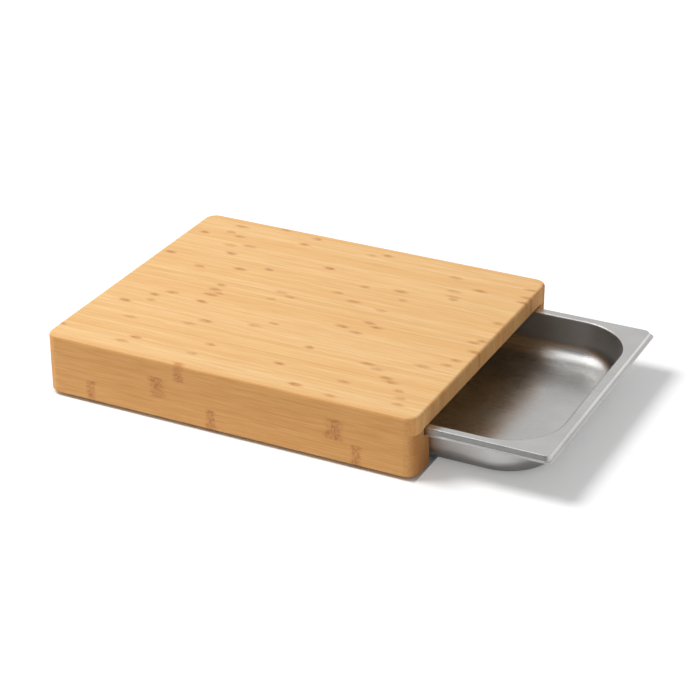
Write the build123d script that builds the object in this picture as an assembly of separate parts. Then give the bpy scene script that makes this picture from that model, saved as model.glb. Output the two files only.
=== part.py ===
from build123d import *
import os

# A bamboo cutting board on rails, with one pressed steel tray that hangs in a rebate
# under the slab and slides out of the right-hand end. The board is built around the tray.
# Millimetres. +X runs along the board, the way the tray is drawn out, +Y runs from the
# front to the back, and +Z is up. The origin is on the worktop, under the middle of the
# board and the drawn-out tray taken together.

# Tray: half-size gastronorm pan, pressed from sheet
tray_length = 325.0
tray_width = 265.0
tray_depth = 40.0           # from the flat of the rim to the outside of the bottom
sheet = 0.7
flange_width = 3.4          # the narrow flange outside the rim's skirt
rim_width = 9.1             # from the skirt's outside to the wall of the bowl
rim_drop = 5.6              # from the flat of the rim to the underside of the flange
rim_corner_radius = 5.5
flange_corner_radius = 6.5
rim_edge_radius = 1.4       # outside of the bend from flat to skirt
flange_bend_radius = 0.8    # inside of the bend from skirt to flange
mouth_radius = 2.3          # bend from the flat down into the bowl
bowl_corner_radius = 52.0   # upright corners of the bowl, at the rim
bowl_bottom_radius = 19.0   # inside of the bend from wall to bottom
wall_draft = 3.0            # degrees that the bowl's walls lean in

# How the tray sits in the board
lip_side_clearance = 0.5    # flange to the wall of the rebate, each side
lip_top_clearance = 1.0     # flat of the rim to the underside of the slab
bowl_side_clearance = 0.7   # bowl to the inner face of the rail, each side
floor_clearance = 2.0       # bottom of the bowl to the worktop
tray_proud = 5.0            # how far the tray stands out when it is pushed home
tray_out = 114.4            # how far it is drawn out as it stands

# Board
slab_thickness = 17.2
side_rail_width = 31.1
end_rail_width = 48.0       # the rail that closes the left-hand end
corner_radius = 12.0        # upright corners, seen from above
edge_radius = 3.0           # round along the outer top edges
bottom_chamfer = 1.2        # eased outer bottom edges
mouth_chamfer = 0.8         # eased edge around the mouth of the slot

# Rubber feet
foot_height = 3.0
foot_diameter = 15.0
foot_end_distance = 24.0    # centre of a foot from the end of the board

# The bowl, and the slot that it runs in
bowl_length = tray_length - 2 * (flange_width + rim_width)
bowl_width = tray_width - 2 * (flange_width + rim_width)
channel_width = bowl_width + 2 * (sheet + bowl_side_clearance)
rebate_width = tray_width + 2 * lip_side_clearance
board_length = end_rail_width + tray_length - tray_proud
board_width = channel_width + 2 * side_rail_width

# Heights above the worktop
tray_bottom = floor_clearance
rim_top = tray_bottom + tray_depth
ledge_top = rim_top - rim_drop
slab_bottom = rim_top + lip_top_clearance
board_top = slab_bottom + slab_thickness
board_bottom = foot_height
rail_seam = (board_bottom + slab_bottom) / 2    # each rail is two equal battens

# Places along X
board_left = -(board_length + tray_out) / 2
board_right = board_left + board_length
board_middle = (board_left + board_right) / 2
end_rail_face = board_left + end_rail_width
tray_middle = board_right + tray_out - tray_length / 2


def block(x_low, x_high, y_low, y_high, z_low, z_high):
    """A box given by its limits."""
    size = (x_high - x_low, y_high - y_low, z_high - z_low)
    middle = ((x_low + x_high) / 2, (y_low + y_high) / 2, (z_low + z_high) / 2)
    return Pos(*middle) * Box(*size)


def tray_plate(length, width, radius, z_low, z_high):
    """A flat block with rounded corners, centred on the tray."""
    outline = Pos(tray_middle, 0, z_low) * RectangleRounded(length, width, radius)
    return extrude(outline, z_high - z_low)


def level_at(edge, height):
    """Whether an edge lies level at this height."""
    box = edge.bounding_box()
    return abs(box.min.Z - height) < 0.01 and abs(box.max.Z - height) < 0.01


def edges_at(edges, height):
    """Those of the edges that lie level at one height."""
    return [edge for edge in edges if level_at(edge, height)]


def make_blank():
    """The whole board before the slot: the outline that every bamboo piece shares."""
    outline = Pos(board_middle, 0, board_bottom) * RectangleRounded(board_length, board_width, corner_radius)
    blank = extrude(outline, board_top - board_bottom)
    blank = fillet(edges_at(blank.edges(), board_top), edge_radius)
    return chamfer(edges_at(blank.edges(), board_bottom), bottom_chamfer)


def slot_outline(grow):
    """Cross-section of the slot, seen along X: channel below, wider rebate above."""
    channel_half = channel_width / 2 + grow
    rebate_half = rebate_width / 2 + grow
    corners = [
        (-channel_half, 0),
        (channel_half, 0),
        (channel_half, ledge_top - grow),
        (rebate_half, ledge_top - grow),
        (rebate_half, slab_bottom + grow),
        (-rebate_half, slab_bottom + grow),
        (-rebate_half, ledge_top - grow),
        (-channel_half, ledge_top - grow),
    ]
    return Plane.YZ * make_face(Polyline(*corners, close=True))


def make_slot():
    """The space that the tray runs in, with its eased mouth at the right-hand end."""
    run = Pos(end_rail_face, 0, 0) * extrude(slot_outline(0), board_length)
    mouth_wide = Pos(board_right, 0, 0) * slot_outline(mouth_chamfer)
    mouth_deep = Pos(board_right - mouth_chamfer, 0, 0) * slot_outline(0)
    return run + loft([mouth_deep, mouth_wide], ruled=True)


def make_bamboo():
    """The slab and the six battens, cut from one rounded blank."""
    blank = make_blank()
    slot = make_slot()
    half_width = board_width / 2
    rail_inside = channel_width / 2
    layers = {"lower": (board_bottom, rail_seam), "upper": (rail_seam, slab_bottom)}
    rails = {
        "front_rail": (board_left, board_right, -half_width, -rail_inside),
        "rear_rail": (board_left, board_right, rail_inside, half_width),
        "end_rail": (board_left, end_rail_face, -rail_inside, rail_inside),
    }
    whole = (board_left, board_right, -half_width, half_width)
    pieces = {"top_slab": blank & block(*whole, slab_bottom, board_top) - slot}
    for layer, heights in layers.items():
        for rail, limits in rails.items():
            pieces[f"{rail}_{layer}"] = blank & block(*limits, *heights) - slot
    return pieces


def make_feet():
    """Round rubber pads, glued under the middle of the side rails near the board's ends."""
    pad = extrude(Circle(foot_diameter / 2), foot_height)
    across = (channel_width + side_rail_width) / 2
    ends = {"left": board_left + foot_end_distance, "right": board_right - foot_end_distance}
    sides = {"front": -across, "rear": across}
    return {f"foot_{side}_{end}": Pos(x, y, 0) * pad for side, y in sides.items() for end, x in ends.items()}


def flat_for_bend(radius):
    """Leg of the 45 degree flat that touches a bend of this radius at its middle."""
    return radius * (2 - 2**0.5)


def make_rim():
    """The flat of the rim, its short skirt and its narrow flange, before the bowl is added."""
    skirt_length = tray_length - 2 * flange_width
    skirt_width = tray_width - 2 * flange_width
    inside = (skirt_length - 2 * sheet, skirt_width - 2 * sheet, rim_corner_radius - sheet)

    cap = tray_plate(skirt_length, skirt_width, rim_corner_radius, ledge_top, rim_top)
    cap = fillet(edges_at(cap.edges(), rim_top), rim_edge_radius)
    hollow = tray_plate(*inside, ledge_top, rim_top - sheet)
    cap -= chamfer(edges_at(hollow.edges(), rim_top - sheet), flat_for_bend(rim_edge_radius - sheet))

    flange = tray_plate(tray_length, tray_width, flange_corner_radius, ledge_top, ledge_top + sheet)
    flange -= tray_plate(*inside, ledge_top, ledge_top + sheet)
    rim = cap + flange
    bend = edges_at(new_edges(cap, flange, combined=rim), ledge_top + sheet)
    return chamfer(bend, flat_for_bend(flange_bend_radius))


def make_bowl(grow, bottom):
    """The drafted, round-bottomed shape of the bowl, grown outwards by a sheet or not at all."""
    outline = RectangleRounded(bowl_length + 2 * grow, bowl_width + 2 * grow, bowl_corner_radius + grow)
    bowl = extrude(Pos(tray_middle, 0, rim_top) * outline, rim_top - bottom, dir=(0, 0, -1), taper=wall_draft)
    return fillet(edges_at(bowl.edges(), bottom), bowl_bottom_radius + grow)


def make_tray():
    """The pan: the bowl hung in its rim, one sheet thick everywhere."""
    rim = make_rim()
    outer_bowl = make_bowl(sheet, tray_bottom)
    pan = rim + outer_bowl
    bend = edges_at(new_edges(rim, outer_bowl, combined=pan), rim_top - sheet)
    pan = fillet(bend, mouth_radius - sheet)

    pan -= make_bowl(0, tray_bottom + sheet)
    flat = pan.faces().filter_by(Plane.XY).sort_by(Axis.Z)[-1]
    mouth = flat.inner_wires()[0].edges()
    return pan.fillet(mouth_radius, mouth)


os.makedirs("parts", exist_ok=True)
pieces = {**make_bamboo(), "tray": make_tray(), **make_feet()}
for node, shape in pieces.items():
    export_step(shape, f"parts/{node}.step")
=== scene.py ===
import math

import bmesh
import bpy
from mathutils import Matrix, Vector


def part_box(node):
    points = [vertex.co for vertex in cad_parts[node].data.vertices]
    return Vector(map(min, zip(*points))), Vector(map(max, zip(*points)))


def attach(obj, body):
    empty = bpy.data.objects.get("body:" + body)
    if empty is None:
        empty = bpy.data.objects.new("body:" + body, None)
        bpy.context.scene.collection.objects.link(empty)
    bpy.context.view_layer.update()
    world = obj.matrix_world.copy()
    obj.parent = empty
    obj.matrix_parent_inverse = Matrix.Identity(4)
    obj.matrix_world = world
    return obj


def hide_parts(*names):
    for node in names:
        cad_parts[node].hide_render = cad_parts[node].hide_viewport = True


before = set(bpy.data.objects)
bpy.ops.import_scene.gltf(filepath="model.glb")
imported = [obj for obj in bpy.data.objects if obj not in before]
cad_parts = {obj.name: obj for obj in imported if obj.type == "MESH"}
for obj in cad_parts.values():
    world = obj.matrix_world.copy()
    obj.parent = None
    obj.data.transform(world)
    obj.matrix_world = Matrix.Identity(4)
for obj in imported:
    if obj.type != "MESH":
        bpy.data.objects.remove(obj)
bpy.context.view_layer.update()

# The finish of a bamboo cutting board with a pressed steel tray: bamboo strips glued side by side,
# satin stainless steel and rubber pads. Lengths named here are in millimetres, as on a drawing,
# and are turned into metres where a mesh is made. The studio's are in metres where it says so.

MM = 0.001

SLAB_LOW, SLAB_HIGH = (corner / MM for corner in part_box("top_slab"))
TRAY_LOW, TRAY_HIGH = (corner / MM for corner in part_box("tray"))
FOOT_LOW, FOOT_HIGH = (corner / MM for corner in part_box("foot_front_left"))
FAR_FOOT_LOW, FAR_FOOT_HIGH = (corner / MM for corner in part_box("foot_rear_right"))
BATTEN_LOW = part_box("front_rail_lower")[0].z / MM
BATTEN_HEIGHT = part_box("front_rail_upper")[0].z / MM - BATTEN_LOW
BOARD_MIDDLE = (SLAB_LOW.x + SLAB_HIGH.x) / 2
BOARD_HALF_LENGTH = (SLAB_HIGH.x - SLAB_LOW.x) / 2
BOARD_NODES = [
    "top_slab",
    "front_rail_lower",
    "front_rail_upper",
    "rear_rail_lower",
    "rear_rail_upper",
    "end_rail_lower",
    "end_rail_upper",
]
FOOT_NODES = ["foot_front_left", "foot_front_right", "foot_rear_left", "foot_rear_right"]


# Shader wiring ---------------------------------------------------------------------------------

class Wiring:
    """Adds nodes to one shader tree. A socket or a plain number may be given for any input."""

    def __init__(self, tree):
        self.tree = tree

    def node(self, kind, settings=None, **inputs):
        made = self.tree.nodes.new(kind)
        for name, value in (settings or {}).items():
            setattr(made, name, value)
        for name, value in inputs.items():
            self.feed(made.inputs[name.replace("_", " ")], value)
        return made

    def feed(self, socket, value):
        if isinstance(value, bpy.types.NodeSocket):
            self.tree.links.new(value, socket)
        else:
            socket.default_value = value

    def math(self, operation, *values, clamp=False):
        made = self.node("ShaderNodeMath", {"operation": operation, "use_clamp": clamp})
        for socket, value in zip(made.inputs, values):
            self.feed(socket, value)
        return made.outputs[0]

    def vector(self, operation, *values):
        made = self.node("ShaderNodeVectorMath", {"operation": operation})
        for socket, value in zip(made.inputs, values):
            self.feed(socket, value)
        return made.outputs["Value" if operation == "LENGTH" else "Vector"]

    def parts(self, vector):
        return self.node("ShaderNodeSeparateXYZ", Vector=vector).outputs

    def join(self, x, y, z):
        return self.node("ShaderNodeCombineXYZ", X=x, Y=y, Z=z).outputs[0]

    def noise(self, vector, scale=1.0, detail=2.0, roughness=0.5, distortion=0.0):
        made = self.node("ShaderNodeTexNoise", Vector=vector, Scale=scale, Detail=detail,
                         Roughness=roughness, Distortion=distortion)
        return made.outputs["Fac"]

    def random(self, vector):
        return self.node("ShaderNodeTexWhiteNoise", Vector=vector)

    def spread(self, value, low, high, new_low=0.0, new_high=1.0, smooth=False):
        """A value's range from low to high, spread over a new range and held at its ends."""
        kind = "SMOOTHSTEP" if smooth else "LINEAR"
        made = self.node("ShaderNodeMapRange", {"interpolation_type": kind, "clamp": True})
        for socket, given in zip(made.inputs, (value, low, high, new_low, new_high)):
            self.feed(socket, given)
        return made.outputs[0]

    def mix(self, share, first, second, blend="MIX"):
        """A colour between two, or the first one blended with the second by that share."""
        made = self.node("ShaderNodeMix", {"data_type": "RGBA", "blend_type": blend})
        for socket, value in zip((made.inputs[0], made.inputs[6], made.inputs[7]), (share, first, second)):
            self.feed(socket, value)
        return made.outputs[2]

    def either(self, share, first, second):
        """The first value where the share is 0 and the second where it is 1."""
        made = self.node("ShaderNodeMix", {"data_type": "FLOAT"})
        for socket, value in zip((made.inputs[0], made.inputs[2], made.inputs[3]), (share, first, second)):
            self.feed(socket, value)
        return made.outputs[0]


def colour(red, green, blue):
    """A colour as seen on screen, 0 to 255, made the linear one that shaders take."""
    def linear(level):
        share = level / 255
        return share / 12.92 if share <= 0.04045 else ((share + 0.055) / 1.055) ** 2.4
    return (linear(red), linear(green), linear(blue), 1.0)


def new_group(name, inputs, outputs):
    """A node group with named inputs, each with its value, and named outputs."""
    group = bpy.data.node_groups.new(name, "ShaderNodeTree")
    kinds = {"vector": "NodeSocketVector", "value": "NodeSocketFloat"}
    for label, (kind, value) in inputs.items():
        socket = group.interface.new_socket(label, in_out="INPUT", socket_type=kinds[kind])
        if value is not None:
            socket.default_value = value
    for label, kind in outputs.items():
        group.interface.new_socket(label, in_out="OUTPUT", socket_type=kinds[kind])
    wires = Wiring(group)
    return group, wires, wires.node("NodeGroupInput").outputs, wires.node("NodeGroupOutput").inputs


def place_group(wires, group, **inputs):
    made = wires.node("ShaderNodeGroup", {"node_tree": group})
    for name, value in inputs.items():
        wires.feed(made.inputs[name.replace("_", " ")], value)
    return made.outputs


def new_material(name):
    """A material with its wiring, its shader, the place on the piece in millimetres and the normal."""
    material = bpy.data.materials.new(name)
    material.use_nodes = True
    wires = Wiring(material.node_tree)
    shader = material.node_tree.nodes["Principled BSDF"]
    place = wires.node("ShaderNodeTexCoord").outputs
    in_mm = wires.vector("SCALE", place["Object"])
    in_mm.node.inputs["Scale"].default_value = 1 / MM
    return material, wires, shader, in_mm, place["Normal"]


# Shared effects ---------------------------------------------------------------------------------

# the bamboo's strips and cane joints, in millimetres
STRIP_WIDTH = 5.6
JOINT_REACH = (7.5, 12.5)   # of the joints on top, to either side, from the least to the most
SET_JOINT_REACH = 7.0       # of those on the sides
JOINT_WANDER = 7.0          # how wide a band a joint's line wanders in
FAR_AWAY = 1000.0           # a distance at which no joint shows

# how fine each pattern of the bamboo is: along the strip, across it and upwards, per millimetre
FINE_FIBRES = (0.045, 2.4, 2.4)
BOLD_FIBRES = (0.02, 0.62, 0.5)
BROAD_SHADES = (0.007, 0.16, 0.1)
FIBRE_BUNDLES = (0.02, 1.3, 1.3)
JOINT_EDGE = (0.06, 0.9, 0.3)
JOINT_MOTTLE_TOP = (0.13, 1.2, 0.5)
JOINT_MOTTLE_SIDE = (0.5, 0.5, 0.42)


def make_smudge_group():
    """Handling marks: soft cloudy patches and a few fine scuffs, as one mask from 0 to 1."""
    group, wires, given, made = new_group(
        "handling_marks",
        {"Place": ("vector", None), "Patch Size": ("value", 60.0), "Scuff Length": ("value", 18.0)},
        {"Mask": "value"},
    )
    shrunk = wires.vector("DIVIDE", given["Place"], wires.join(*[given["Patch Size"]] * 3))
    cloud = wires.spread(wires.noise(shrunk, detail=3.0), 0.4, 0.7, smooth=True)
    stretched = wires.join(wires.math("DIVIDE", 1.0, given["Scuff Length"]), 2.2, 2.2)
    along = wires.vector("MULTIPLY", given["Place"], stretched)
    scuff = wires.spread(wires.noise(along, detail=2.0, distortion=0.4), 0.62, 0.72)
    wires.feed(made["Mask"], wires.math("ADD", cloud, wires.math("MULTIPLY", scuff, 0.5), clamp=True))
    return group


def make_strip_group():
    """Bamboo strips glued side by side. Place is in millimetres with X along the strips, Y across
    them and Z up; the layers are as high as a batten. Wide Face is 1 where a strip shows its side."""
    group, wires, given, made = new_group(
        "bamboo_strips",
        {
            "Place": ("vector", None),
            "Wide Face": ("value", 0.0),
            "Strip Width": ("value", 5.6),
            "Strip Start": ("value", 0.0),
            "Layer Start": ("value", 0.0),
            "Layer Height": ("value", 20.0),
            "Joint Spacing": ("value", 290.0),
            "Set Joint Distance": ("value", 1000.0),
            "Set Joint Share": ("value", 0.0),
        },
        {
            "Tone": "value",
            "Fibre": "value",
            "Pores": "value",
            "Joint": "value",
            "Joint Core": "value",
            "Glue Line": "value",
            "Warmth": "value",
            "Height": "value",
        },
    )
    x, y, z = wires.parts(given["Place"])
    wide = given["Wide Face"]

    # which strip and which layer a point is in, and how far across the strip
    across = wires.math("DIVIDE", wires.math("SUBTRACT", y, given["Strip Start"]), given["Strip Width"])
    strip = wires.math("FLOOR", across)
    share = wires.math("SUBTRACT", across, strip)
    level = wires.math("DIVIDE", wires.math("SUBTRACT", z, given["Layer Start"]), given["Layer Height"])
    layer = wires.math("FLOOR", level)
    strip_random = wires.parts(wires.random(wires.join(strip, layer, 3.7)).outputs["Color"])
    shift = wires.math("MULTIPLY", strip_random[0], 900.0)
    own = wires.join(wires.math("ADD", x, shift), wires.math("ADD", y, shift), z)

    # fibres run the length of the strip, so they are streaks on its sides and dots on its ends
    fine = wires.noise(wires.vector("MULTIPLY", own, FINE_FIBRES), detail=3.0, roughness=0.6)
    bold = wires.noise(wires.vector("MULTIPLY", own, BOLD_FIBRES), detail=1.0)
    broad = wires.noise(wires.vector("MULTIPLY", own, BROAD_SHADES), detail=1.0)
    fibre = wires.math("ADD", wires.math("MULTIPLY", fine, 0.6), wires.math("MULTIPLY", bold, 0.4))
    bundles = wires.node("ShaderNodeTexVoronoi", {"feature": "F1"},
                         Vector=wires.vector("MULTIPLY", own, FIBRE_BUNDLES), Scale=1.0, Randomness=0.85)
    flipped = wires.math("GREATER_THAN", strip_random[1], 0.5)
    towards_skin = wires.either(flipped, share, wires.math("SUBTRACT", 1.0, share))
    pore_size = wires.spread(towards_skin, 0.0, 1.0, 0.16, 0.42)
    pores = wires.spread(wires.math("SUBTRACT", pore_size, bundles.outputs["Distance"]), 0.0, 0.16)

    # a strip's joints, where the cane had its partitions
    wobble = wires.noise(wires.vector("MULTIPLY", own, JOINT_EDGE), detail=2.0)
    wobble = wires.math("MULTIPLY", wires.math("SUBTRACT", wobble, 0.5), JOINT_WANDER)
    run = wires.math("DIVIDE", wires.math("ADD", x, wobble), given["Joint Spacing"])
    run = wires.math("ADD", run, wires.math("MULTIPLY", strip_random[2], 7.0))
    cell = wires.math("FLOOR", run)
    joint_place = wires.join(strip, wires.math("ADD", cell, 40.0), layer)
    joint_random = wires.parts(wires.random(joint_place).outputs["Color"])
    own_place = wires.spread(joint_random[0], 0.0, 1.0, 0.15, 0.85)
    offset = wires.math("SUBTRACT", wires.math("SUBTRACT", run, cell), own_place)
    free_distance = wires.math("ABSOLUTE", wires.math("MULTIPLY", offset, given["Joint Spacing"]))
    set_distance = wires.math("ADD", given["Set Joint Distance"], wobble)
    distance = wires.either(given["Set Joint Share"], free_distance, set_distance)
    distance = wires.math("MAXIMUM", distance, 0.0)
    strength = wires.spread(joint_random[1], 0.0, 1.0, 0.5, 1.0)
    strength = wires.either(given["Set Joint Share"], strength, 0.9)
    reach = wires.spread(joint_random[2], 0.0, 1.0, *JOINT_REACH)
    reach = wires.either(wide, reach, SET_JOINT_REACH)
    middle = wires.math("MULTIPLY", wires.math("MULTIPLY", share, wires.math("SUBTRACT", 1.0, share)), 4.0)
    rounded = wires.spread(middle, 0.0, 0.9, 0.35, 1.0)
    reach = wires.math("MULTIPLY", reach, wires.either(wide, rounded, 1.0))
    middle = wires.either(wide, wires.math("POWER", middle, 0.4), 1.0)
    lens = wires.spread(distance, reach, wires.math("MULTIPLY", reach, 0.15), smooth=True)
    grain = wires.node("ShaderNodeMix", {"data_type": "VECTOR"})
    wires.feed(grain.inputs[0], wide)
    wires.feed(grain.inputs[4], JOINT_MOTTLE_TOP)
    wires.feed(grain.inputs[5], JOINT_MOTTLE_SIDE)
    mottle_place = wires.vector("MULTIPLY", own, grain.outputs[1])
    mottle = wires.noise(mottle_place, detail=2.0, roughness=0.6, distortion=0.6)
    joint = wires.math("MULTIPLY", wires.math("MULTIPLY", lens, middle), strength)
    joint = wires.math("MULTIPLY", joint, wires.spread(mottle, 0.35, 0.6, 0.55, 1.0), clamp=True)
    inner_end = wires.math("MULTIPLY", reach, 0.75)
    inner = wires.spread(distance, inner_end, wires.math("MULTIPLY", reach, 0.3), smooth=True)
    core = wires.math("MULTIPLY", inner, wires.spread(mottle, 0.5, 0.62))
    core = wires.math("MULTIPLY", wires.math("MULTIPLY", core, middle), strength, clamp=True)

    # glue lines: hairlines between strips, most of them hardly seen
    edge = wires.math("MINIMUM", share, wires.math("SUBTRACT", 1.0, share))
    edge = wires.math("MULTIPLY", edge, given["Strip Width"])
    line_random = wires.random(wires.join(wires.math("ROUND", across), layer, 8.1)).outputs["Value"]
    line_strength = wires.math("POWER", line_random, 4.0)
    line_strength = wires.spread(line_strength, 0.0, 1.0, 0.1, 1.0)
    glue = wires.math("MULTIPLY", wires.spread(edge, 0.26, 0.06), line_strength)
    glue = wires.math("MULTIPLY", glue, wires.math("SUBTRACT", 1.0, wide))

    drift = wires.math("MULTIPLY", wires.math("SUBTRACT", broad, 0.5), 1.2)
    tone = wires.math("ADD", strip_random[1], drift)
    height = wires.math("SUBTRACT", wires.math("MULTIPLY", fine, 0.012), wires.math("MULTIPLY", glue, 0.02))
    height = wires.math("ADD", height, wires.math("MULTIPLY", core, 0.01))
    results = {"Tone": tone, "Fibre": fibre, "Pores": pores, "Joint": joint, "Joint Core": core,
               "Glue Line": glue, "Warmth": strip_random[2], "Height": height}
    for name, value in results.items():
        wires.feed(made[name], value)
    return group


def make_drawing_mark_group():
    """Fine parallel lines that rolling and pressing leave in sheet steel, with the cloudy sheen
    between them."""
    group, wires, given, made = new_group(
        "drawing_marks",
        {"Place": ("vector", None), "Line Length": ("value", 40.0), "Line Width": ("value", 0.25)},
        {"Lines": "value", "Cloud": "value"},
    )
    along = wires.math("DIVIDE", 1.0, given["Line Length"])
    fine = wires.math("DIVIDE", 1.0, given["Line Width"])
    lines = wires.noise(wires.vector("MULTIPLY", given["Place"], wires.join(along, fine, fine)), detail=2.0)
    wires.feed(made["Lines"], lines)
    wires.feed(made["Cloud"], wires.noise(given["Place"], scale=0.03, detail=2.0))
    return group


strips = make_strip_group()
smudges = make_smudge_group()
drawing_marks = make_drawing_mark_group()


# Materials --------------------------------------------------------------------------------------

# bamboo colours, as seen on screen
TOP_PALE = colour(252, 213, 155)
TOP_DEEP = colour(242, 194, 130)
TOP_WARM = colour(245, 187, 124)
STREAK = colour(228, 172, 106)
SIDE_SHADE = colour(243, 227, 204)
END_PALE = colour(252, 240, 222)
END_DEEP = colour(248, 228, 204)
# painted shade: a darker multiply for the rails' end faces under the slab, for the shade they lie in, not
# for their bamboo
BATTEN_END_PAINTED_SHADE = colour(214, 197, 186)
PORE = colour(140, 88, 50)
JOINT = colour(200, 132, 76)
JOINT_CORE = colour(146, 86, 42)
GLUE = colour(150, 98, 56)

BAMBOO_ROUGHNESS = (0.44, 0.56)
END_ROUGHNESS = 0.7

# how strongly each mark shows: the first share on top, the second on the sides
STREAK_SHARE = (0.6, 0.8)
JOINT_SHARE = (0.85, 0.65)
JOINT_CORE_SHARE = (0.5, 0.4)
PORE_SHARE = (0.12, 0.34)   # along the strips, and on their ends
GLUE_SHARE = 0.55

# the cane joints on the front face, layer by layer from the bottom: how far they reach to either side,
# and where they lie, from the board's middle
FRONT_JOINTS = [(7.0, (-137.0, -13.0, 129.0)), (12.0, (-67.0, 108.0)), (7.5, (-45.0,))]


def set_joint_distance(wires, x, z):
    """Distance along the front face to the nearest of its own joints, as if all reached equally far."""
    nearest = FAR_AWAY
    for layer, (reach, places) in enumerate(FRONT_JOINTS):
        middle = BATTEN_LOW + (layer + 0.5) * BATTEN_HEIGHT
        from_middle = wires.math("ABSOLUTE", wires.math("SUBTRACT", z, middle))
        outside = wires.math("GREATER_THAN", from_middle, BATTEN_HEIGHT / 2)
        outside = wires.math("MULTIPLY", outside, FAR_AWAY)
        for place in places:
            gap = wires.math("ABSOLUTE", wires.math("SUBTRACT", x, BOARD_MIDDLE + place))
            gap = wires.math("MULTIPLY", gap, SET_JOINT_REACH / reach)
            nearest = wires.math("MINIMUM", wires.math("ADD", gap, outside), nearest)
    return nearest


def make_bamboo(name, crosswise):
    """Oiled bamboo: pale strips with fine fibres, brown cane joints and darker end grain, with painted
    shade on the ends of the rails below the slab.
    """
    material, wires, shader, place, normal = new_material(name)
    x, y, z = wires.parts(place)
    nx, ny, _ = wires.parts(normal)
    if crosswise:
        x, y, nx, ny = y, x, ny, nx
    end_grain = wires.spread(wires.math("ABSOLUTE", nx), 0.35, 0.9, smooth=True)
    side = wires.spread(wires.math("ABSOLUTE", ny), 0.3, 0.9, smooth=True)
    front = 0.0 if crosswise else wires.math("LESS_THAN", y, SLAB_LOW.y + STRIP_WIDTH)
    strip = place_group(
        wires, strips, Place=wires.join(x, y, z), Wide_Face=side, Strip_Width=STRIP_WIDTH,
        Strip_Start=SLAB_LOW.y, Layer_Start=BATTEN_LOW, Layer_Height=BATTEN_HEIGHT,
        Set_Joint_Distance=set_joint_distance(wires, x, z), Set_Joint_Share=front,
    )
    marks = place_group(wires, smudges, Place=place)

    tone = wires.either(side, strip["Tone"], wires.spread(strip["Tone"], 0.0, 1.0, 0.4, 0.65))
    pale = wires.mix(wires.spread(tone, 0.0, 1.0), TOP_PALE, TOP_DEEP)
    pale = wires.mix(wires.math("MULTIPLY", strip["Warmth"], 0.3), pale, TOP_WARM)
    streak = wires.spread(strip["Fibre"], 0.4, 0.62)
    streak_depth = wires.math("MULTIPLY", streak, wires.either(side, *STREAK_SHARE))
    streaky = wires.mix(streak_depth, pale, STREAK)
    body = wires.mix(side, streaky, wires.mix(1.0, streaky, SIDE_SHADE, "MULTIPLY"))
    # the end grain's own tone; below the slab, painted shade is multiplied over it, darkening the rails'
    # ends for the shade there
    end_tone_and_painted_shade = wires.mix(wires.spread(strip["Warmth"], 0.2, 0.8), END_PALE, END_DEEP)
    batten_end_painted_shade = wires.mix(1.0, end_tone_and_painted_shade, BATTEN_END_PAINTED_SHADE, "MULTIPLY")
    end_tone_and_painted_shade = wires.mix(wires.math("GREATER_THAN", z, SLAB_LOW.z), batten_end_painted_shade, end_tone_and_painted_shade)
    body = wires.mix(end_grain, body, wires.mix(1.0, streaky, end_tone_and_painted_shade, "MULTIPLY"))
    pore_depth = wires.math("MULTIPLY", strip["Pores"], wires.either(end_grain, *PORE_SHARE))
    body = wires.mix(pore_depth, body, PORE)
    joint_depth = wires.math("MULTIPLY", strip["Joint"], wires.either(side, *JOINT_SHARE))
    body = wires.mix(joint_depth, body, JOINT)
    core_depth = wires.math("MULTIPLY", strip["Joint Core"], wires.either(side, *JOINT_CORE_SHARE))
    body = wires.mix(core_depth, body, JOINT_CORE)
    body = wires.mix(wires.math("MULTIPLY", strip["Glue Line"], GLUE_SHARE), body, GLUE)
    wires.feed(shader.inputs["Base Color"], body)

    rough = wires.spread(strip["Fibre"], 0.3, 0.7, *BAMBOO_ROUGHNESS)
    rough = wires.math("ADD", rough, wires.math("MULTIPLY", marks["Mask"], 0.06))
    wires.feed(shader.inputs["Roughness"], wires.either(end_grain, rough, END_ROUGHNESS))
    bump = wires.node("ShaderNodeBump", Strength=0.6, Distance=MM, Height=strip["Height"])
    wires.feed(shader.inputs["Normal"], bump.outputs[0])
    shader.inputs["Specular IOR Level"].default_value = 0.3
    return material


# the steel: its colours, how rough its flats are, and what its walls add to that
STEEL_PALE = colour(206, 205, 203)
STEEL_DEEP = colour(200, 199, 198)
STEEL_SMUDGED = colour(190, 189, 187)
STEEL_ROUGHNESS = (0.23, 0.29)
WALL_ROUGHNESS = 0.15
DRAWN_LINE_HEIGHT = 0.004
WAVE_HEIGHT = 0.15          # of the slow unevenness that pressing leaves


def make_tray_steel():
    """Satin stainless sheet. Drawing the bowl has left its walls rougher than the flats."""
    material, wires, shader, place, normal = new_material("satin_sheet_steel")
    drawn = place_group(wires, drawing_marks, Place=place)
    marks = place_group(wires, smudges, Place=place, Patch_Size=45.0)
    tint = wires.mix(wires.spread(drawn["Cloud"], 0.35, 0.65), STEEL_PALE, STEEL_DEEP)
    tint = wires.mix(wires.math("MULTIPLY", marks["Mask"], 0.25), tint, STEEL_SMUDGED)
    wires.feed(shader.inputs["Base Color"], tint)
    rough = wires.spread(drawn["Lines"], 0.3, 0.7, *STEEL_ROUGHNESS)
    rough = wires.math("ADD", rough, wires.math("MULTIPLY", marks["Mask"], 0.05))
    facing_up = wires.math("ABSOLUTE", wires.parts(normal)[2])
    upright = wires.spread(facing_up, 0.45, 0.1, 0.0, WALL_ROUGHNESS)
    wires.feed(shader.inputs["Roughness"], wires.math("ADD", rough, upright))
    fine_height = wires.math("MULTIPLY", drawn["Lines"], DRAWN_LINE_HEIGHT)
    height = wires.math("ADD", fine_height, wires.math("MULTIPLY", drawn["Cloud"], WAVE_HEIGHT))
    bump = wires.node("ShaderNodeBump", Strength=0.5, Distance=MM, Height=height)
    wires.feed(shader.inputs["Normal"], bump.outputs[0])
    shader.inputs["Metallic"].default_value = 1.0
    return material


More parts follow.
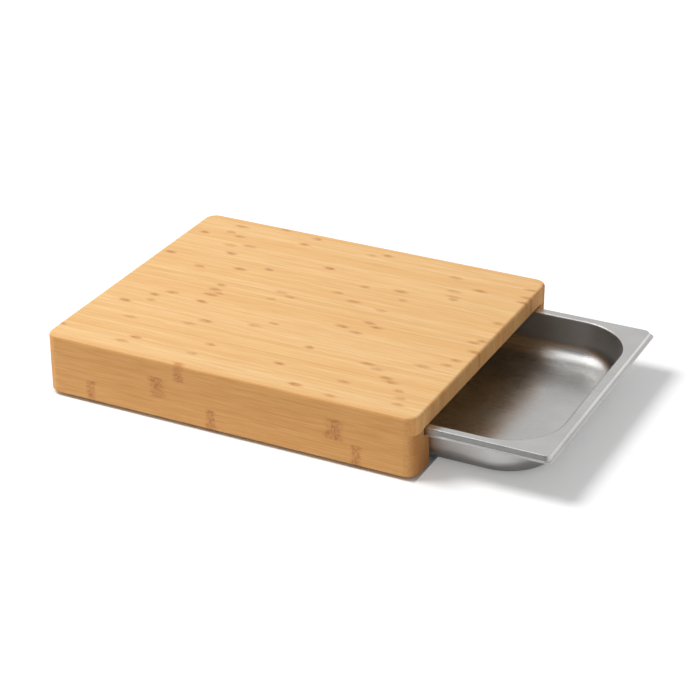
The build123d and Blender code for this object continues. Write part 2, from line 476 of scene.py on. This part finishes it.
RUBBER = colour(44, 43, 42)
RUBBER_SCUFFED = colour(70, 68, 66)
RUBBER_ROUGHNESS = (0.72, 0.86)
RUBBER_GRAIN_HEIGHT = 0.06


def make_foot_rubber():
    """Dark moulded rubber with a fine grain."""
    material, wires, shader, place, _ = new_material("moulded_rubber")
    grain = wires.noise(place, scale=2.4, detail=4.0)
    marks = place_group(wires, smudges, Place=place, Patch_Size=8.0)
    body = wires.mix(wires.math("MULTIPLY", marks["Mask"], 0.4), RUBBER, RUBBER_SCUFFED)
    wires.feed(shader.inputs["Base Color"], body)
    wires.feed(shader.inputs["Roughness"], wires.spread(grain, 0.3, 0.7, *RUBBER_ROUGHNESS))
    height = wires.math("MULTIPLY", grain, RUBBER_GRAIN_HEIGHT)
    bump = wires.node("ShaderNodeBump", Strength=0.5, Distance=MM, Height=height)
    wires.feed(shader.inputs["Normal"], bump.outputs[0])
    return material


# Meshes -----------------------------------------------------------------------------------------

def link(thing):
    bpy.context.scene.collection.objects.link(thing)
    return thing


def plain_mesh(thing, name):
    """A new object with the evaluated mesh of a thing and none of its modifiers."""
    depsgraph = bpy.context.evaluated_depsgraph_get()
    mesh = bpy.data.meshes.new_from_object(thing.evaluated_get(depsgraph), depsgraph=depsgraph)
    mesh.name = name
    bpy.data.objects.remove(thing)
    return link(bpy.data.objects.new(name, mesh))


def finish_piece(piece, body, slot, material, *nodes):
    piece.data.materials.clear()
    piece.data.materials.append(material)
    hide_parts(*nodes)
    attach(piece, body)


EASED_EDGE = 0.14       # how far the sharp edges of each batten are broken, which leaves a fine seam


def make_batten(node, material):
    """One bamboo piece with its sharp edges broken."""
    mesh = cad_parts[node].data.copy()
    shape = bmesh.new()
    shape.from_mesh(mesh)
    bmesh.ops.remove_doubles(shape, verts=shape.verts, dist=0.002 * MM)
    bmesh.ops.dissolve_limit(shape, angle_limit=math.radians(0.2), verts=shape.verts, edges=shape.edges)
    shape.to_mesh(mesh)
    shape.free()
    for face in mesh.polygons:
        face.use_smooth = True
    rough = link(bpy.data.objects.new(node + "_rough", mesh))
    bevel = rough.modifiers.new("eased_edges", "BEVEL")
    bevel.width = EASED_EDGE * MM
    bevel.segments = 2
    bevel.limit_method = "ANGLE"
    bevel.angle_limit = math.radians(30)
    weighted = rough.modifiers.new("flat_faces", "WEIGHTED_NORMAL")
    weighted.weight = 100
    piece = plain_mesh(rough, node + "_bamboo")
    finish_piece(piece, "board", "bamboo", material, node)


# The tray's section, as on its drawing
SHEET = 0.7
RIM_DROP = 5.6
SKIRT_FOOT = 2.5        # from the tray's outline in to the skirt, at the flange
SKIRT_TOP = 3.7         # and at the flat of the rim, because the skirt leans in
RIM_EDGE_RADIUS = 1.4
FLANGE_BEND_RADIUS = 0.4
FLANGE_CORNER = 6.5
RIM_CORNER = 5.2        # of the skirt's top, seen from above
BOWL_INSET = 12.5       # from the tray's outline in to the wall of the bowl
MOUTH_RADIUS = 2.3
BOWL_CORNER = 52.0
BOTTOM_RADIUS = 19.0
WALL_DRAFT = math.radians(3.0)
CROWN = 0.35            # the pressed bottom stands this much higher in its middle
BOTTOM_SHARES = (0.004, 0.1, 0.22, 0.36, 0.52, 0.68, 0.84, 1.0)     # rings from the bend to the last one
LAST_RING = 6.0         # half the width of the last ring, inside which the bottom is one flat face
LEAST_RADIUS = 0.5
CUT_EDGE_RADIUS = 0.2
CLOSE = 0.3             # extra rings this near each bend keep the flats flat
CORNER_STEPS = 18
SIDE_STEPS = 14
CUT_STEPS = 3
FLANGE_STEPS = 5
RIM_STEPS = 6
MOUTH_STEPS = 8
BEND_STEPS = 14


def arc(centre, radius, start, end, steps):
    """Points of an arc in the section; angles are from straight up, turning towards the middle."""
    angles = [math.radians(start + (end - start) * i / steps) for i in range(steps + 1)]
    return [(centre[0] + radius * math.sin(a), centre[1] + radius * math.cos(a)) for a in angles]


def tray_section():
    """The closed section of the sheet: distance in from the tray's outline, and height above the
    flat of the rim. It runs over the top from the cut edge into the bowl and back underneath."""
    depth = TRAY_HIGH.z - TRAY_LOW.z
    draft = math.degrees(WALL_DRAFT)
    turn = math.tan((math.pi / 2 - WALL_DRAFT) / 2)
    mouth = (BOWL_INSET - MOUTH_RADIUS * turn, -MOUTH_RADIUS)
    wall_foot = BOWL_INSET + (depth - SHEET) * math.tan(WALL_DRAFT)
    bend = (wall_foot + BOTTOM_RADIUS * turn, SHEET - depth + BOTTOM_RADIUS)

    flange_top = SHEET - RIM_DROP
    lean = math.atan2(SKIRT_TOP - SKIRT_FOOT, -flange_top)
    slope = math.degrees(lean)
    rim_edge = (SKIRT_TOP + RIM_EDGE_RADIUS * (1 / math.cos(lean) - math.tan(lean)), -RIM_EDGE_RADIUS)
    foot = (SKIRT_FOOT - FLANGE_BEND_RADIUS * (1 / math.cos(lean) - math.tan(lean)),
            flange_top + FLANGE_BEND_RADIUS)
    cut = (CUT_EDGE_RADIUS, flange_top - CUT_EDGE_RADIUS)
    under_cut = (CUT_EDGE_RADIUS, CUT_EDGE_RADIUS - RIM_DROP)

    top = arc(cut, CUT_EDGE_RADIUS, -90, 0, CUT_STEPS)
    top += arc(foot, FLANGE_BEND_RADIUS, 180, 90 + slope, FLANGE_STEPS)
    top += arc(rim_edge, RIM_EDGE_RADIUS, slope - 90, 0, RIM_STEPS)
    top += [(rim_edge[0] + CLOSE, 0.0), (mouth[0] - CLOSE, 0.0)]
    top += arc(mouth, MOUTH_RADIUS, 0, 90 - draft, MOUTH_STEPS)
    top += arc(bend, BOTTOM_RADIUS, 270 - draft, 180, BEND_STEPS)
    under = arc(bend, BOTTOM_RADIUS + SHEET, 180, 270 - draft, BEND_STEPS)
    under += arc(mouth, MOUTH_RADIUS - SHEET, 90 - draft, 0, MOUTH_STEPS)
    under += [(mouth[0] - CLOSE, -SHEET), (rim_edge[0] + CLOSE, -SHEET)]
    under += arc(rim_edge, RIM_EDGE_RADIUS - SHEET, 0, slope - 90, RIM_STEPS)
    under += arc(foot, FLANGE_BEND_RADIUS + SHEET, 90 + slope, 180, FLANGE_STEPS)
    under += arc(under_cut, CUT_EDGE_RADIUS, -180, -90, CUT_STEPS)
    return top, under, bend[0]


def corner_radius(inset):
    """Corner radius of the outline at a distance in from the tray's edge: tight on the flange and
    the skirt, and the bowl's own from the mouth inwards."""
    skirt_end = SKIRT_TOP + RIM_EDGE_RADIUS
    if inset > skirt_end:
        return BOWL_CORNER + BOWL_INSET - inset
    share = min(inset / SKIRT_TOP, 1.0)
    return FLANGE_CORNER - inset + share * (RIM_CORNER + SKIRT_TOP - FLANGE_CORNER)


def outline(inset, height, radius):
    """One ring of the tray: a rounded rectangle with the same number of points for any radius."""
    half_x = (TRAY_HIGH.x - TRAY_LOW.x) / 2 - inset
    half_y = (TRAY_HIGH.y - TRAY_LOW.y) / 2 - inset
    middle_x = (TRAY_HIGH.x + TRAY_LOW.x) / 2
    radius = max(radius, LEAST_RADIUS)
    points = []
    for quarter in range(4):
        side_x = 1 if quarter in (0, 3) else -1
        side_y = 1 if quarter in (0, 1) else -1
        centre = (side_x * (half_x - radius), side_y * (half_y - radius))
        for step in range(CORNER_STEPS + 1):
            angle = math.pi / 2 * (quarter + step / CORNER_STEPS)
            points.append((centre[0] + radius * math.cos(angle), centre[1] + radius * math.sin(angle)))
        after = (quarter + 1) % 4
        next_x = (1 if after in (0, 3) else -1) * (half_x - radius)
        next_y = (1 if after in (0, 1) else -1) * (half_y - radius)
        start = points[-1]
        angle = math.pi / 2 * (quarter + 1)
        end = (next_x + radius * math.cos(angle), next_y + radius * math.sin(angle))
        for step in range(1, SIDE_STEPS):
            t = step / SIDE_STEPS
            points.append((start[0] + (end[0] - start[0]) * t, start[1] + (end[1] - start[1]) * t))
    return [Vector((middle_x + px, py, TRAY_HIGH.z + height)) * MM for px, py in points]


def bottom_rings(bend_inset, height):
    """Rings across the flat of the bottom, with its slight crown, from the bend inwards."""
    reach = (TRAY_HIGH.y - TRAY_LOW.y) / 2 - LAST_RING
    rings = []
    for share in BOTTOM_SHARES:
        inset = bend_inset + (reach - bend_inset) * share
        lift = CROWN * math.sin(share * math.pi / 2) ** 2
        rings.append(outline(inset, height + lift, corner_radius(inset)))
    return rings


def make_tray(material):
    """The pressed pan, one closed sheet."""
    top, under, bend_inset = tray_section()
    depth = TRAY_HIGH.z - TRAY_LOW.z
    rings = [outline(inset, height, corner_radius(inset)) for inset, height in top]
    rings += bottom_rings(bend_inset, SHEET - depth)
    rings += list(reversed(bottom_rings(bend_inset, -depth)))
    rings += [outline(inset, height, corner_radius(inset)) for inset, height in under]
    shape = bmesh.new()
    loops = [[shape.verts.new(point) for point in ring] for ring in rings]
    inner_top = len(top) + len(BOTTOM_SHARES) - 1
    count = len(loops[0])
    for i, loop in enumerate(loops):
        if i == inner_top:
            shape.faces.new(loop)
            continue
        if i == inner_top + 1:
            shape.faces.new(list(reversed(loop)))
        after = loops[(i + 1) % len(loops)]
        for j in range(count):
            k = (j + 1) % count
            shape.faces.new((loop[j], loop[k], after[k], after[j]))
    bmesh.ops.recalc_face_normals(shape, faces=shape.faces)
    mesh = bpy.data.meshes.new("pressed_tray")
    shape.to_mesh(mesh)
    shape.free()
    for face in mesh.polygons:
        face.use_smooth = True
    piece = link(bpy.data.objects.new("pressed_tray", mesh))
    finish_piece(piece, "tray", "tray_steel", material, "tray")


# the rubber pads
PAD_EDGE_RADIUS = 0.6
PAD_RIDGE_SPACING = 1.5
PAD_RIDGE_HEIGHT = 0.12
PAD_RIDGED_SHARE = 0.8      # how much of the pad's radius is ridged
PAD_SEGMENTS = {"Vertices": 48, "Side Segments": 12, "Fill Segments": 30}


def make_pad_tree():
    """Geometry nodes for the four rubber pads: a ridged pad turned about its axis, set at the
    corners of a rectangle."""
    tree = bpy.data.node_groups.new("rubber_pads", "GeometryNodeTree")
    tree.interface.new_socket("Geometry", in_out="INPUT", socket_type="NodeSocketGeometry")
    sizes = ("Spacing X", "Spacing Y", "Radius", "Height", "Edge Radius", "Ridge Spacing", "Ridge Height")
    for name in sizes:
        tree.interface.new_socket(name, in_out="INPUT", socket_type="NodeSocketFloat")
    tree.interface.new_socket("Centre", in_out="INPUT", socket_type="NodeSocketVector")
    tree.interface.new_socket("Material", in_out="INPUT", socket_type="NodeSocketMaterial")
    tree.interface.new_socket("Geometry", in_out="OUTPUT", socket_type="NodeSocketGeometry")
    given = tree.nodes.new("NodeGroupInput").outputs
    wires = Wiring(tree)

    # the pad is a cylinder, drawn in towards its rounded top and bottom and ridged underneath
    pad = tree.nodes.new("GeometryNodeMeshCylinder")
    pad.fill_type = "TRIANGLE_FAN"
    for name, value in PAD_SEGMENTS.items():
        pad.inputs[name].default_value = value
    wires.feed(pad.inputs["Radius"], given["Radius"])
    wires.feed(pad.inputs["Depth"], given["Height"])
    x, y, z = wires.parts(tree.nodes.new("GeometryNodeInputPosition").outputs[0])
    half = wires.math("MULTIPLY", given["Height"], 0.5)
    straight = wires.math("SUBTRACT", half, given["Edge Radius"])
    past = wires.math("MAXIMUM", wires.math("SUBTRACT", wires.math("ABSOLUTE", z), straight), 0.0)
    edge_squared = wires.math("POWER", given["Edge Radius"], 2.0)
    left = wires.math("SUBTRACT", edge_squared, wires.math("POWER", past, 2.0))
    left = wires.math("SQRT", wires.math("MAXIMUM", left, 0.0))
    drawn_in = wires.math("SUBTRACT", given["Edge Radius"], left)
    factor = wires.math("SUBTRACT", 1.0, wires.math("DIVIDE", drawn_in, given["Radius"]))
    radius = wires.vector("LENGTH", wires.join(x, y, 0.0))
    turns = wires.math("DIVIDE", radius, given["Ridge Spacing"])
    wave = wires.math("SINE", wires.math("MULTIPLY", turns, math.tau))
    ridge = wires.math("MULTIPLY", wires.math("ADD", wave, 1.0), given["Ridge Height"])
    ridged = wires.math("LESS_THAN", radius, wires.math("MULTIPLY", given["Radius"], PAD_RIDGED_SHARE))
    underneath = wires.math("LESS_THAN", z, wires.math("MULTIPLY", half, -0.999))
    ridged = wires.math("MULTIPLY", ridged, underneath)
    lift = wires.math("MULTIPLY", ridge, ridged)
    moved = tree.nodes.new("GeometryNodeSetPosition")
    wires.feed(moved.inputs["Geometry"], pad.outputs["Mesh"])
    new_x = wires.math("MULTIPLY", x, factor)
    new_y = wires.math("MULTIPLY", y, factor)
    new_place = wires.join(new_x, new_y, wires.math("ADD", z, lift))
    wires.feed(moved.inputs["Position"], new_place)

    corners = tree.nodes.new("GeometryNodeMeshGrid")
    corners.inputs["Vertices X"].default_value = 2
    corners.inputs["Vertices Y"].default_value = 2
    wires.feed(corners.inputs["Size X"], given["Spacing X"])
    wires.feed(corners.inputs["Size Y"], given["Spacing Y"])
    shifted = tree.nodes.new("GeometryNodeTransform")
    wires.feed(shifted.inputs["Geometry"], corners.outputs["Mesh"])
    wires.feed(shifted.inputs["Translation"], given["Centre"])
    copies = tree.nodes.new("GeometryNodeInstanceOnPoints")
    wires.feed(copies.inputs["Points"], shifted.outputs["Geometry"])
    wires.feed(copies.inputs["Instance"], moved.outputs["Geometry"])
    real = tree.nodes.new("GeometryNodeRealizeInstances")
    wires.feed(real.inputs["Geometry"], copies.outputs["Instances"])
    painted = tree.nodes.new("GeometryNodeSetMaterial")
    wires.feed(painted.inputs["Geometry"], real.outputs["Geometry"])
    wires.feed(painted.inputs["Material"], given["Material"])
    out = tree.nodes.new("NodeGroupOutput")
    wires.feed(out.inputs["Geometry"], painted.outputs["Geometry"])
    return tree


def make_feet(material):
    """The four pads as one mesh."""
    tree = make_pad_tree()
    holder = link(bpy.data.objects.new("pads_rough", bpy.data.meshes.new("pads_rough")))
    modifier = holder.modifiers.new("pads", "NODES")
    modifier.node_group = tree
    values = {
        "Spacing X": (FAR_FOOT_LOW.x - FOOT_LOW.x) * MM,
        "Spacing Y": (FAR_FOOT_LOW.y - FOOT_LOW.y) * MM,
        "Radius": (FOOT_HIGH.x - FOOT_LOW.x) / 2 * MM,
        "Height": (FOOT_HIGH.z - FOOT_LOW.z) * MM,
        "Edge Radius": PAD_EDGE_RADIUS * MM,
        "Ridge Spacing": PAD_RIDGE_SPACING * MM,
        "Ridge Height": PAD_RIDGE_HEIGHT * MM,
        "Centre": tuple((FOOT_LOW + FAR_FOOT_HIGH) / 2 * MM),
        "Material": material,
    }
    sockets = {item.name: item.identifier for item in tree.interface.items_tree if item.in_out == "INPUT"}
    for name, value in values.items():
        modifier[sockets[name]] = value
    piece = plain_mesh(holder, "rubber_pads")
    for face in piece.data.polygons:
        face.use_smooth = True
    finish_piece(piece, "board", "foot_rubber", material, *FOOT_NODES)


# Studio -----------------------------------------------------------------------------------------

# the camera, in millimetres and degrees, fitted to the board's edges in the photograph
CAMERA_PLACE = (747.1, -1535.2, 904.4)
CAMERA_AZIMUTH = 26.206
CAMERA_ELEVATION = 27.177
CAMERA_ROLL = -0.051
CAMERA_LENS = 107.07
SENSOR = 36.0

# the studio, in metres and watts
FLOOR_REACH = 1.5
FLOOR_FRONT = 0.75      # from the middle of the object to the floor's front edge
FLOOR_GLOW = 0.24       # what the floor adds to the light it takes, seen straight
FLOOR_FAR_GLOW = 0.6    # the same at the floor's rim, where less light reaches it
FLOOR_MIRRORED = 0.5    # and as the metal sees it, beyond the tray's right-hand end
FLOOR_COLOUR = (0.94, 0.94, 0.94, 1.0)
WHITE = (1.0, 1.0, 1.0, 1.0)
SKY_FILL = 0.36         # the even light on everything but the metal
SKY_BACK = 0.8          # what the metal sees behind the board
SKY_ROOM = 0.24         # and on the camera's side
SKY_TURN = (-0.75, -0.35)   # where the one becomes the other, as a direction's share of Y
LAMPS = {
    # azimuth from +X, elevation, distance, width, power, and whether the metal mirrors it
    "key": (198.0, 58.0, 3.2, 1.6, 28.0, False),
    "sheen": (198.0, 58.0, 3.2, 1.4, 50.0, True),
}

# where the floor's glow changes, in millimetres from the object's middle
GLOW_EVENED = (350.0, 1500.0)
MIRRORED_FROM_X = (250.0, 310.0)
MIRRORED_FROM_Y = (-120.0, 200.0)


def make_camera():
    data = bpy.data.cameras.new("camera")
    data.lens = CAMERA_LENS
    data.sensor_fit = "HORIZONTAL"
    data.sensor_width = SENSOR
    data.clip_end = 50.0
    camera = link(bpy.data.objects.new("camera", data))
    turn = Matrix.Rotation(math.radians(CAMERA_AZIMUTH), 4, "Z")
    tilt = Matrix.Rotation(math.radians(90 - CAMERA_ELEVATION), 4, "X")
    roll = Matrix.Rotation(math.radians(CAMERA_ROLL), 4, "Z")
    camera.matrix_world = Matrix.Translation(Vector(CAMERA_PLACE) * MM) @ turn @ tilt @ roll
    bpy.context.scene.camera = camera


def make_lamp(name, place, target, size, power, mirrored):
    data = bpy.data.lights.new(name, "AREA")
    data.shape = "DISK"
    data.size = size
    data.energy = power
    lamp = link(bpy.data.objects.new(name, data))
    lamp.visible_glossy = mirrored
    aim = (Vector(place) - Vector(target)).to_track_quat("Z", "Y")
    lamp.matrix_world = Matrix.Translation(place) @ aim.to_matrix().to_4x4()


def make_floor():
    """A pale floor that reads white to the camera where nothing shades it."""
    bpy.ops.mesh.primitive_plane_add(size=2 * FLOOR_REACH, location=(0, FLOOR_REACH - FLOOR_FRONT, 0))
    floor = bpy.context.object
    floor.name = "floor"
    material, wires, shader, place, _ = new_material("pale_floor")
    shader.inputs["Base Color"].default_value = FLOOR_COLOUR
    shader.inputs["Roughness"].default_value = 0.9
    shader.inputs["Specular IOR Level"].default_value = 0.0
    path = wires.node("ShaderNodeLightPath").outputs
    from_object = wires.vector("ADD", place, (0.0, (FLOOR_REACH - FLOOR_FRONT) / MM, 0.0))
    x, y, _ = wires.parts(from_object)

    # what the camera sees leaves out the floor under the board, so the gap there stays dark
    under_x = wires.math("ABSOLUTE", wires.math("SUBTRACT", x, BOARD_MIDDLE))
    under_x = wires.math("LESS_THAN", under_x, BOARD_HALF_LENGTH)
    under_y = wires.math("LESS_THAN", wires.math("ABSOLUTE", y), SLAB_HIGH.y)
    open_floor = wires.math("SUBTRACT", 1.0, wires.math("MULTIPLY", under_x, under_y))
    distance = wires.vector("LENGTH", from_object)
    evened = wires.spread(distance, *GLOW_EVENED, FLOOR_GLOW, FLOOR_FAR_GLOW)
    straight = wires.math("MULTIPLY", path["Is Camera Ray"], wires.math("MULTIPLY", open_floor, evened))

    # what the metal sees starts past the tray, whose right-hand skirt mirrors it
    past_tray = wires.spread(x, *MIRRORED_FROM_X)
    backwards = wires.spread(y, *MIRRORED_FROM_Y, 0.0, FLOOR_MIRRORED)
    mirrored = wires.math("MULTIPLY", path["Is Glossy Ray"], wires.math("MULTIPLY", past_tray, backwards))
    strength = wires.math("ADD", straight, mirrored)
    glow = wires.node("ShaderNodeEmission", Color=WHITE, Strength=strength)
    both = wires.node("ShaderNodeAddShader")
    wires.feed(both.inputs[0], shader.outputs[0])
    wires.feed(both.inputs[1], glow.outputs[0])
    wires.feed(material.node_tree.nodes["Material Output"].inputs["Surface"], both.outputs[0])
    floor.data.materials.append(material)


def make_sky():
    """White to the camera. The metal sees white behind the board and the dim room on the camera's
    side, and the rest is a low, even light."""
    world = bpy.data.worlds.new("studio")
    world.use_nodes = True
    bpy.context.scene.world = world
    wires = Wiring(world.node_tree)
    path = wires.node("ShaderNodeLightPath").outputs
    direction = wires.parts(wires.node("ShaderNodeTexCoord").outputs["Generated"])
    mirrored = wires.spread(direction[1], *SKY_TURN, SKY_ROOM, SKY_BACK, smooth=True)
    straight = wires.math("MAXIMUM", path["Is Camera Ray"], path["Is Transmission Ray"])
    strength = wires.either(path["Is Glossy Ray"], SKY_FILL, mirrored)
    strength = wires.either(straight, strength, 1.0)
    background = world.node_tree.nodes["Background"]
    background.inputs["Color"].default_value = WHITE
    wires.feed(background.inputs["Strength"], strength)


def make_lamps():
    """A big soft light high on the left, in two parts. The metal mirrors only one of them, so it
    shows less glare, as it does through a photographer's polariser."""
    target = Vector((0, 0, 0.03))
    for name, (azimuth, elevation, distance, size, power, mirrored) in LAMPS.items():
        turn, rise = math.radians(azimuth), math.radians(elevation)
        away = Vector((math.cos(turn) * math.cos(rise), math.sin(turn) * math.cos(rise), math.sin(rise)))
        make_lamp(name, target + away * distance, target, size, power, mirrored)


bamboo = make_bamboo("bamboo_lengthwise", crosswise=False)
bamboo_across = make_bamboo("bamboo_crosswise", crosswise=True)
for board_node in BOARD_NODES:
    make_batten(board_node, bamboo_across if board_node.startswith("end_rail") else bamboo)
make_tray(make_tray_steel())
make_feet(make_foot_rubber())
make_camera()
make_floor()
make_sky()
make_lamps()
bpy.context.scene.view_settings.view_transform = "Standard"
